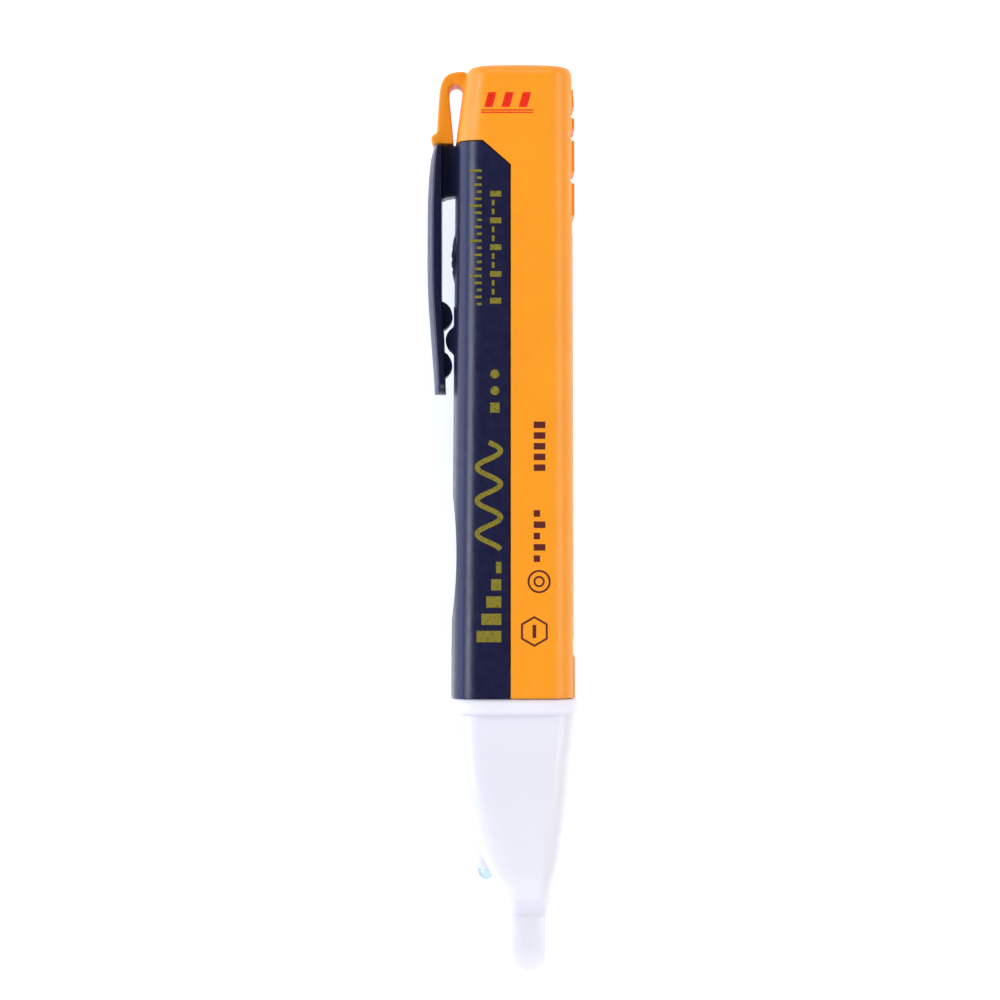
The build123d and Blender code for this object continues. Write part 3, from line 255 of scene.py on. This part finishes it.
nickel = metal("nickel_plate", (0.72, 0.71, 0.68), 0.28)
tinned = metal("tinned_wire", (0.74, 0.74, 0.75), 0.32)
zinc = metal("zinc_screw", (0.5, 0.5, 0.52), 0.34)
brass = metal("brass_plate", (0.80, 0.58, 0.27), 0.3, brushed=(1, 1, 12))
copper = metal("copper_plate", (0.80, 0.42, 0.26), 0.3, brushed=(1, 12, 1))


def ceramic_material():
    n = Nodes("silvered_ceramic")
    n.colour(n.ramp(n.voronoi(1500), ((0.0, (0.66, 0.65, 0.62)), (1.0, (0.84, 0.83, 0.80)))))
    n.roughness(n.noise(800), 0.3, 0.7, 0.4, 0.55)
    n.bump(n.noise(1800), 0.2, 0.00001)
    n.set(Metallic=0.6)
    return n.mat


def board_material():
    """Green solder mask over tracks: a brick pattern gives the lighter copper runs."""
    n = Nodes("solder_mask")
    bricks = n.tree.nodes.new("ShaderNodeTexBrick")
    bricks.inputs["Scale"].default_value = 260
    bricks.inputs["Mortar Size"].default_value = 0.05
    bricks.inputs["Color1"].default_value = (0.004, 0.105, 0.035, 1)
    bricks.inputs["Color2"].default_value = (0.004, 0.085, 0.03, 1)
    bricks.inputs["Mortar"].default_value = (0.02, 0.24, 0.075, 1)
    swap = n.tree.nodes.new("ShaderNodeCombineXYZ")
    n.link(n.axis("X"), swap.inputs["X"])
    n.link(n.axis("Z"), swap.inputs["Y"])
    n.link(swap.outputs[0], bricks.inputs["Vector"])
    n.colour(bricks.outputs["Color"])
    n.roughness(n.noise(500), 0.3, 0.7, 0.2, 0.32)
    n.bump(bricks.outputs["Fac"], 0.3, 0.00003)
    return n.mat


def cell_material(start_x):
    """Shrink sleeve with a copper band at the positive end, bare steel at both rims."""
    n = Nodes("cell_sleeve")
    along = n.span(n.axis("X"), start_x, start_x + CELL_LENGTH, 0.0, 1.0)
    sleeve = n.ramp(
        along,
        (
            (0.0, (0.6, 0.6, 0.6)),
            (0.014, (0.012, 0.013, 0.018)),
            (0.70, (0.62, 0.30, 0.12)),
            (0.955, (0.02, 0.02, 0.02)),
            (0.966, (0.68, 0.68, 0.68)),
        ),
        hard=True,
    )
    n.colour(n.mix(n.span(n.noise(40), 0.3, 0.7, 0.0, 0.12), sleeve, (0.3, 0.3, 0.3)))
    n.roughness(n.noise(300, stretch=(0.2, 1, 1)), 0.3, 0.7, 0.2, 0.34)
    n.bump(n.noise(120, stretch=(0.3, 1, 1)), 0.08, 0.00004)
    n.set(Metallic=0.75)
    return n.mat


def label_material():
    """Satin paper-like film with plain grey rules and a dark block, and no lettering."""
    n = Nodes("label_film")
    x0, x1 = (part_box("rear_label")[i].x for i in (0, 1))
    z0, z1 = (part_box("rear_label")[i].z for i in (0, 1))
    along = n.span(n.axis("X"), x0, x1, 0.0, 1.0)
    across = n.span(n.axis("Z"), z0, z1, 0.0, 1.0)
    rules = n.math("LESS_THAN", n.math("FRACT", n.math("MULTIPLY", across, 9.0)), 0.42)
    inside = n.math("MULTIPLY", n.math("GREATER_THAN", across, 0.11), n.math("LESS_THAN", across, 0.89))
    part = n.math("MULTIPLY", n.math("GREATER_THAN", along, 0.30), n.math("LESS_THAN", along, 0.93))
    ink = n.math("MULTIPLY", n.math("MULTIPLY", rules, inside), part)
    block_run = n.math("MULTIPLY", n.math("GREATER_THAN", along, 0.05), n.math("LESS_THAN", along, 0.22))
    block = n.math("MULTIPLY", block_run, inside)
    film = n.mix(ink, (0.74, 0.74, 0.72), (0.16, 0.16, 0.17))
    n.colour(n.mix(block, film, (0.05, 0.05, 0.06)))
    n.roughness(n.noise(260), 0.3, 0.7, 0.32, 0.45)
    n.bump(n.noise(900), 0.1, 0.00001)
    return n.mat


def wire_material():
    """Two insulated wires: red on one side of the middle plane, black on the other."""
    n = Nodes("wire_insulation")
    side = n.math("GREATER_THAN", n.axis("Z"), mid_z)
    n.colour(n.mix(side, (0.02, 0.02, 0.02), (0.55, 0.015, 0.012)))
    n.roughness(n.noise(900), 0.3, 0.7, 0.35, 0.5)
    n.bump(n.noise(1500), 0.15, 0.00002)
    return n.mat


def chip_material(name, colour):
    n = Nodes(name)
    n.colour(n.ramp(n.noise(1800), ((0.3, tint(colour, 0.85)), (0.7, tint(colour, 1.15)))))
    n.roughness(n.noise(1500), 0.3, 0.7, 0.45, 0.6)
    n.bump(n.noise(4000), 0.25, 0.00001)
    return n.mat


def paint(node, material):
    for s in nodes[node].material_slots:
        s.link = "OBJECT"
        s.material = material


paint("front_shell", navy)
paint("clip_shoulder", navy)
paint("pocket_clip", navy)
paint("battery_cover", orange)
paint("latch_loop", orange)
paint("latch_arm", orange)
paint("rear_label", label_material())
paint("nose_housing", nose_milky)
paint("power_button", button_white)
paint("battery_tray", tray_black)
paint("rear_cell", cell_material(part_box("rear_cell")[0].x))
paint("front_cell", cell_material(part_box("front_cell")[0].x))
for name in ("spring_plate", "front_contact", "battery_spring"):
    paint(name, nickel)
paint("circuit_board", board_material())
paint("logic_chip", chip_material("chip_epoxy", (0.02, 0.02, 0.022)))
paint("transistors", chip_material("transistor_epoxy", (0.018, 0.018, 0.018)))
paint("chip_resistors", chip_material("resistor_body", (0.03, 0.03, 0.035)))
paint("chip_capacitors", chip_material("capacitor_body", (0.42, 0.29, 0.16)))
paint("switch_body", switch_black)
paint("switch_plunger", plunger_cream)
paint("sounder_plate", brass)
paint("sounder_ceramic", ceramic_material())
paint("sounder_wires", wire_material())
paint("torch_led", torch_clear)
paint("warning_leds", lamp_red)
paint("torch_led_leads", tinned)
paint("warning_led_leads", tinned)
paint("sensing_plate", copper)
paint("assembly_screws", zinc)

# ---------------------------------------------------------------- mesh helpers
def link_mesh(name, mesh, material, sharp=35):
    piece = bpy.data.objects.new(name, mesh)
    bpy.context.scene.collection.objects.link(piece)
    mesh.materials.append(material)
    mesh.shade_smooth()
    mesh.set_sharp_from_angle(angle=math.radians(sharp))
    return piece


def baked(piece):
    """The piece with its modifiers worked out, so that only a mesh is left."""
    graph = bpy.context.evaluated_depsgraph_get()
    mesh = bpy.data.meshes.new_from_object(piece.evaluated_get(graph))
    name = piece.name
    bpy.data.objects.remove(piece)
    made = bpy.data.objects.new(name, mesh)
    bpy.context.scene.collection.objects.link(made)
    return made


def cut(piece, cutter):
    """piece with the space of another closed mesh taken out of it."""
    b = piece.modifiers.new("cut", "BOOLEAN")
    b.operation, b.solver, b.object = "DIFFERENCE", "EXACT", cutter
    piece = baked(piece)
    bpy.data.objects.remove(cutter)
    return piece


def joined(name, material, *parts):
    """One piece made of several closed meshes."""
    bm = bmesh.new()
    for part in parts:
        bm.from_mesh(part.data)
        bpy.data.objects.remove(part)
    mesh = bpy.data.meshes.new(name)
    bm.to_mesh(mesh)
    bm.free()
    return link_mesh(name, mesh, material)


def loft(name, rings, material):
    """Closed mesh through rings of the same number of points."""
    mesh = bpy.data.meshes.new(name)
    bm = bmesh.new()
    rows = [[bm.verts.new(p) for p in ring] for ring in rings]
    count = len(rows[0])
    for a, b in zip(rows, rows[1:]):
        for i in range(count):
            bm.faces.new((a[i], a[(i + 1) % count], b[(i + 1) % count], b[i]))
    bm.faces.new(reversed(rows[0]))
    bm.faces.new(rows[-1])
    bmesh.ops.recalc_face_normals(bm, faces=bm.faces)
    bm.to_mesh(mesh)
    bm.free()
    return link_mesh(name, mesh, material)


def side_prism(name, outline, half, material, bevel=0.0, limit=50):
    """Side-view outline in mm, made solid from -half to +half mm across, with rounded rims."""
    mesh = bpy.data.meshes.new(name)
    bm = bmesh.new()
    near = [bm.verts.new(at(x, y, half)) for x, y in outline]
    far = [bm.verts.new(at(x, y, -half)) for x, y in outline]
    count = len(outline)
    bm.faces.new(near)
    bm.faces.new(reversed(far))
    for i in range(count):
        bm.faces.new((near[i], near[(i + 1) % count], far[(i + 1) % count], far[i]))
    bmesh.ops.recalc_face_normals(bm, faces=bm.faces)
    bm.to_mesh(mesh)
    bm.free()
    piece = link_mesh(name, mesh, material)
    if bevel:
        b = piece.modifiers.new("rim", "BEVEL")
        b.width, b.segments, b.limit_method = bevel * MM, 4, "ANGLE"
        b.angle_limit = math.radians(limit)
        piece = baked(piece)
        piece.data.shade_smooth()
        piece.data.set_sharp_from_angle(angle=math.radians(40))
    return piece


def between(pairs, x):
    """Value at x on the straight lines through (x, value) pairs, held at both ends."""
    for (x0, a), (x1, b) in zip(pairs, pairs[1:]):
        if x <= x1:
            t = max(0.0, min(1.0, (x - x0) / (x1 - x0)))
            return a + (b - a) * t
    return pairs[-1][1]


def bar(x0, x1, y0, y1):
    return [(x0, y0), (x1, y0), (x1, y1), (x0, y1)]


def disc_outline(x, y, r, count=40):
    turns = [2 * math.pi * i / count for i in range(count)]
    return [(x + r * math.cos(turn), y + r * math.sin(turn)) for turn in turns]


def smooth_path(points, steps=6):
    """Points on a Catmull-Rom curve through the given ones."""
    out = []
    pts = [points[0], *points, points[-1]]
    for p0, p1, p2, p3 in zip(pts, pts[1:], pts[2:], pts[3:]):
        for i in range(steps):
            t = i / steps
            out.append(
                tuple(
                    0.5
                    * (
                        2 * p1[k]
                        + (p2[k] - p0[k]) * t
                        + (2 * p0[k] - 5 * p1[k] + 4 * p2[k] - p3[k]) * t * t
                        + (3 * p1[k] - p0[k] - 3 * p2[k] + p3[k]) * t**3
                    )
                    for k in (0, 1)
                )
            )
    out.append(points[-1])
    return out


# ---------------------------------------------------------------- pocket clip with its root
CLIP_OUTER = smooth_path(
    [
        (13.05, -13.42),
        (14.1, -13.8),
        (15.8, -14.12),
        (18.8, -14.4),
        (22.8, -14.6),
        (29.8, -14.65),
        (35.8, -14.62),
        (39.8, -14.48),
        (43.8, -14.2),
        (47.8, -13.9),
        (51.8, -13.6),
        (55.4, -13.38),
    ],
    4,
)
CLIP_INNER = [(13.05, -12.17), (38.8, -12.17), (41.8, -12.0), (44.8, -11.82), (48.8, -11.68), (55.4, -11.5)]
CLIP_TIP = 55.4
CLIP_TIP_RADIUS = 2.3
CLIP_HALF = [(13.05, 5.0), (30.8, 5.0), (42.8, 4.7), (55.4, 4.28)]


def clip_ring(x, pinch=0.0):
    """Cross-section of the strip at x mm: crowned outside, flat inside, soft corners."""
    outer, inner, half = between(CLIP_OUTER, x), between(CLIP_INNER, x), between(CLIP_HALF, x) - pinch
    thick = inner - outer
    crown, corner, small = min(0.95, 0.4 * thick), min(0.4, 0.2 * thick), min(0.22, 0.12 * thick)
    ring = []
    for i in range(15):
        z = -half + corner + (2 * (half - corner)) * i / 14
        ring.append((outer + crown * (z / half) ** 2, z))
    edge = ring[-1][0]
    for i in range(1, 5):
        a = math.radians(22.5 * i)
        ring.append((edge + corner * (1 - math.cos(a)), half - corner + corner * math.sin(a)))
    for i in range(5):
        a = math.radians(22.5 * i)
        ring.append((inner - small + small * math.sin(a), half - small + small * math.cos(a)))
    for i in range(1, 8):
        ring.append((inner, (half - small) * (1 - i / 4)))
    lower = [(y, -z) for y, z in reversed(ring[15:24])]
    ring.extend(lower)
    return [at(x, y, z) for y, z in ring]


def tongue_pocket():
    """Space in the clip's root that the strap's tongue enters."""
    return side_prism("tongue_pocket", bar(12.3, 15.2, -12.85, -10.75), 1.7, navy)


def clip_piece():
    """The strip with its root block and two bumps, bending past the root."""
    stations = [13.07, 13.3, 13.8, 14.5, 15.3, 16.3, 17.8, 19.3, 20.8]
    stations += [22.3 + 0.75 * i for i in range(41)]
    stations += [53.1, 53.5, 53.9, 54.3, 54.65, 54.9, 55.1, 55.25, 55.35, CLIP_TIP]
    rings = []
    for x in sorted(set(stations)):
        into = max(0.0, x - (CLIP_TIP - CLIP_TIP_RADIUS))
        pinch = CLIP_TIP_RADIUS - math.sqrt(max(0.0, CLIP_TIP_RADIUS**2 - into**2))
        rings.append(clip_ring(x, pinch))
    strip = cut(loft("clip_strip", rings, navy), tongue_pocket())
    root_side = [(13.05, -12.4), (22.1, -12.4), (22.1, -11.9), (21.8, -11.3), (21.4, -8.9), (13.05, -8.9)]
    root = cut(side_prism("clip_root", root_side, 3.2, navy, 0.35), tongue_pocket())
    parts = [strip, root]
    bump_radius, sunk = 2.6, 0.35
    for x, y in ((42.0, -12.95), (50.4, -13.02)):
        outline = [(a, b) for a, b in disc_outline(x, y, bump_radius, 56) if b > y + sunk]
        parts.append(side_prism("clip_bump", outline, 3.5, navy, 0.3, 60))
    strip = joined("pocket_clip_flex", navy, *parts)
    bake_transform(strip)
    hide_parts("clip_shoulder", "pocket_clip")


clip_piece()


# ---------------------------------------------------------------- strap: lanyard loop and latch arm
def strap_piece():
    """The loop with its drop-shaped hole, the springy arm with a thumb lip, and the tongue."""
    outer = smooth_path(
        [
            (0.5, -8.4),
            (0.55, -9.5),
            (0.8, -10.6),
            (1.2, -11.3),
            (1.9, -11.9),
            (3.0, -12.3),
            (4.3, -12.52),
            (6.8, -12.72),
            (9.1, -12.85),
            (10.7, -12.95),
        ],
        5,
    )
    lip = [(11.0, -13.1), (11.22, -13.5), (11.5, -13.8), (11.9, -13.93)]
    lip += [(12.4, -13.9), (12.7, -13.7), (12.78, -13.4)]
    inner = [(12.78, -10.15), (10.8, -10.32), (8.8, -10.5), (6.8, -10.68), (5.3, -10.82), (4.5, -10.9)]
    hole_x, hole_y, hole_radius = 3.8, -9.75, 1.15
    turns = [math.radians(a) for a in range(10, 181, 10)]
    hole = [(hole_x - hole_radius * math.sin(t), hole_y - hole_radius * math.cos(t)) for t in turns]
    back = [(4.1, -8.5), (4.1, -7.6), (1.0, -7.6)]
    strap = side_prism("latch_strap", outer + lip + inner + hole + back, 4.0, orange, 0.32, 55)
    tongue_side = [(12.3, -11.7), (14.3, -11.7), (14.55, -11.5)]
    tongue_side += [(14.55, -11.1), (14.3, -10.9), (12.3, -10.9)]
    tongue = side_prism("latch_tongue", tongue_side, 1.5, orange)
    strap = joined("latch_strap", orange, strap, tongue)
    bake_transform(strap)
    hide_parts("latch_loop", "latch_arm")


strap_piece()


# ---------------------------------------------------------------- printed marks, plain shapes only
def ink_material(name, colour, rough):
    """Screen ink: a little uneven in thickness and colour, with pinholes."""
    n = Nodes(name)
    stops = ((0.32, tint(colour, 0.55)), (0.45, colour), (0.8, tint(colour, 1.25)))
    n.colour(n.ramp(n.noise(2500, detail=2.0), stops))
    n.roughness(n.noise(1500), 0.3, 0.7, rough, rough + 0.12)
    n.bump(n.noise(3000), 0.3, 0.00001)
    return n.mat


gold_ink = ink_material("ink_gold", (0.215, 0.175, 0.012), 0.4)
brown_ink = ink_material("ink_brown", (0.10, 0.012, 0.008), 0.4)
red_ink = ink_material("ink_red", (0.86, 0.02, 0.006), 0.35)


INK_HEIGHT = 0.025  # mm of the film over the surface
INK_ROOT = 0.02  # mm of its edge below the surface
flat_z = half_width / MM  # mm from the middle plane to the flat side


def ink(name, shapes, material, body):
    """Closed outlines in mm, laid as one film on the tester's upper flat side."""
    mesh = bpy.data.meshes.new(name)
    bm = bmesh.new()
    for outline in shapes:
        upper = [bm.verts.new(at(x, y, flat_z + INK_HEIGHT)) for x, y in outline]
        lower = [bm.verts.new(at(x, y, flat_z - INK_ROOT)) for x, y in outline]
        bm.faces.new(upper)
        for i in range(len(outline)):
            j = (i + 1) % len(outline)
            bm.faces.new((upper[i], lower[i], lower[j], upper[j]))
    bmesh.ops.recalc_face_normals(bm, faces=bm.faces)
    bmesh.ops.triangulate(bm, faces=bm.faces)
    bm.to_mesh(mesh)
    bm.free()
    piece = link_mesh(name, mesh, material)
    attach(piece, body)
    return piece


def stroke(points, width):
    """Ribbon along a line of points."""
    left, right = [], []
    for i, (x, y) in enumerate(points):
        xa, ya = points[max(0, i - 1)]
        xb, yb = points[min(len(points) - 1, i + 1)]
        length = math.hypot(xb - xa, yb - ya)
        nx, ny = -(yb - ya) / length * width / 2, (xb - xa) / length * width / 2
        left.append((x + nx, y + ny))
        right.append((x - nx, y - ny))
    return [[left[i], left[i + 1], right[i + 1], right[i]] for i in range(len(points) - 1)]


def hoop(points, width):
    """Band inside a closed outline, as wide as a share of the outline's own radius."""
    closed = points + points[:1]
    cx = sum(p[0] for p in points) / len(points)
    cy = sum(p[1] for p in points) / len(points)
    shapes = []
    for a, b in zip(closed, closed[1:]):
        inner = [(x + (cx - x) * width, y + (cy - y) * width) for x, y in (b, a)]
        shapes.append([a, b, *inner])
    return shapes


def scale_marks():
    """Two rows of ticks along the dark shell."""
    ticks = []
    for i in range(20):
        x = 17.8 + 1.18 * i
        deep = 2.0 if i % 5 == 0 else 1.2 if i % 2 == 0 else 0.8
        ticks.append(bar(x, x + 0.42, -5.3 - deep, -5.3))
    for i in range(13):
        x = 21.4 + 1.5 * i
        ticks.append(bar(x, x + 0.95, -3.6, -3.15) if i % 3 else bar(x, x + 0.95, -3.9, -2.0))
    ink("ink_scale", ticks, gold_ink, "body")


def dot_marks():
    """Two dots and a square on the dark shell."""
    dots = [disc_outline(x, -3.1, 0.75, 24) for x in (52.2, 55.0)]
    ink("ink_dots", [*dots, bar(57.0, 58.7, -3.9, -2.3)], gold_ink, "body")


def wave_marks():
    """A wave and five level bars on the dark shell, the largest marks."""
    start, middle, swing, wave_length = 63.7, -4.1, 2.0, 5.6
    runs = [0.25 * i for i in range(73)]
    crest = [(start + run, middle + swing * math.sin(run * 2 * math.pi / wave_length)) for run in runs]
    wave = stroke(crest, 0.85)
    levels = [bar(83.8 + 2.9 * i, 85.7 + 2.9 * i, -2.0 - (0.9 + 0.82 * i), -2.0) for i in range(5)]
    ink("ink_wave_levels", wave + levels, gold_ink, "body")


def cover_marks():
    """Rows of short bars, a ring in a ring and an open hexagon on the orange cover."""
    dashes = [bar(60.2 + 1.8 * i, 61.3 + 1.8 * i, 3.45, 5.4) for i in range(5)]
    dashes += [bar(75.1 + 1.9 * i, 76.2 + 1.9 * i, 3.45, 5.4 if i % 2 else 4.5) for i in range(5)]
    rings = hoop(disc_outline(87.1, 4.35, 1.95, 40), 0.17) + hoop(disc_outline(87.1, 4.35, 0.95, 30), 0.34)
    hexagon = hoop(disc_outline(95.5, 3.55, 2.6, 6), 0.15) + [bar(94.4, 96.6, 3.25, 3.85)]
    ink("ink_cover_marks", dashes + rings + hexagon, brown_ink, "cover")


def cap_mark():
    """Three leaning blocks over a double rule on the cap."""
    blocks = []
    for i in range(3):
        y = 2.9 * i
        blocks.append([(4.8, y - 4.2), (7.3, y - 4.9), (7.3, y - 3.5), (4.8, y - 2.8)])
    rules = [bar(x, x + 0.2, -5.35, 3.4) for x in (7.7, 8.1)]
    ink("ink_cap_mark", blocks + rules, red_ink, "cover")


scale_marks()
dot_marks()
wave_marks()
cover_marks()
cap_mark()


# ---------------------------------------------------------------- floor, lights and camera
FLOOR = (0.93, 0.93, 0.94)
FLOOR_HALF = 3.0
FLOOR_GAP = 0.0002  # keeps the floor clear of what rests on it


def floor_piece():
    """Pale paper that glows faintly, so that shadows stay light."""
    mesh = bpy.data.meshes.new("floor")
    corners = [(x, y, 0) for x, y in bar(-FLOOR_HALF, FLOOR_HALF, -FLOOR_HALF, FLOOR_HALF)]
    mesh.from_pydata(corners, [], [(0, 1, 2, 3)])
    floor = bpy.data.objects.new("floor", mesh)
    floor.location.z = floor_z - FLOOR_GAP
    bpy.context.scene.collection.objects.link(floor)
    n = Nodes("floor_paper")
    n.colour(n.ramp(n.noise(6), ((0.3, tint(FLOOR, 0.99)), (0.7, FLOOR))))
    n.roughness(n.noise(60), 0.3, 0.7, 0.75, 0.85)
    n.bump(n.noise(900), 0.03, 0.00005)
    n.set(Emission_Color=(0.78, 0.84, 1.0, 1), Emission_Strength=0.5)
    mesh.materials.append(n.mat)


floor_piece()


def lamp(name, place, size, watts, colour=(1, 1, 1), aim=(0, 0, 0.01)):
    light = bpy.data.lights.new(name, "AREA")
    light.shape = "RECTANGLE"
    light.size, light.size_y = size
    light.energy = watts
    light.color = colour
    holder = bpy.data.objects.new(name, light)
    holder.location = place
    holder.rotation_euler = (Vector(aim) - Vector(place)).to_track_quat("-Z", "Y").to_euler()
    bpy.context.scene.collection.objects.link(holder)


lamp("softbox_front", (0.0, -0.72, 0.62), (1.1, 0.34), 8.0, (0.84, 0.87, 1.0))
lamp("softbox_back", (0.0, 0.72, 0.62), (1.1, 0.34), 5.3, (1.0, 0.98, 0.96))
lamp("softbox_cap", (-0.85, 0.0, 0.7), (0.5, 0.5), 2.1)
lamp("softbox_tip", (0.85, 0.0, 0.7), (0.5, 0.5), 2.1)
lamp("blue_rim", (0.0, -0.55, 0.05), (0.8, 0.1), 1.2, (0.25, 0.4, 1.0))


def studio_world():
    """Soft sky, pale at the horizon and dark overhead."""
    world = bpy.data.worlds.new("studio")
    world.use_nodes = True
    sky = world.node_tree
    ray = sky.nodes.new("ShaderNodeTexCoord")
    split = sky.nodes.new("ShaderNodeSeparateXYZ")
    fade = sky.nodes.new("ShaderNodeValToRGB")
    pale, dark = fade.color_ramp.elements
    pale.position, pale.color = 0.15, (0.95, 0.96, 1.0, 1)
    dark.position, dark.color = 0.85, (0.06, 0.06, 0.075, 1)
    sky.links.new(ray.outputs["Generated"], split.inputs["Vector"])
    sky.links.new(split.outputs["Z"], fade.inputs["Fac"])
    sky.links.new(fade.outputs["Color"], sky.nodes["Background"].inputs["Color"])
    sky.nodes["Background"].inputs["Strength"].default_value = 0.4
    bpy.context.scene.world = world


def camera_above():
    """Long lens straight above the tester: cap at the top of the picture, clip at its left."""
    data = bpy.data.cameras.new("camera")
    data.lens = 120
    data.sensor_width = 36
    camera = bpy.data.objects.new("camera", data)
    view_width = 171.27 * MM
    distance = view_width * data.lens / data.sensor_width
    centre = at(73.39, -2.227)
    cap_up = Matrix(((0, -1, 0), (1, 0, 0), (0, 0, 1))).to_4x4()
    camera.matrix_world = Matrix.Translation(centre + Vector((0, 0, distance))) @ cap_up
    bpy.context.scene.collection.objects.link(camera)
    bpy.context.scene.camera = camera


studio_world()
camera_above()
bpy.context.scene.view_settings.view_transform = "Standard"
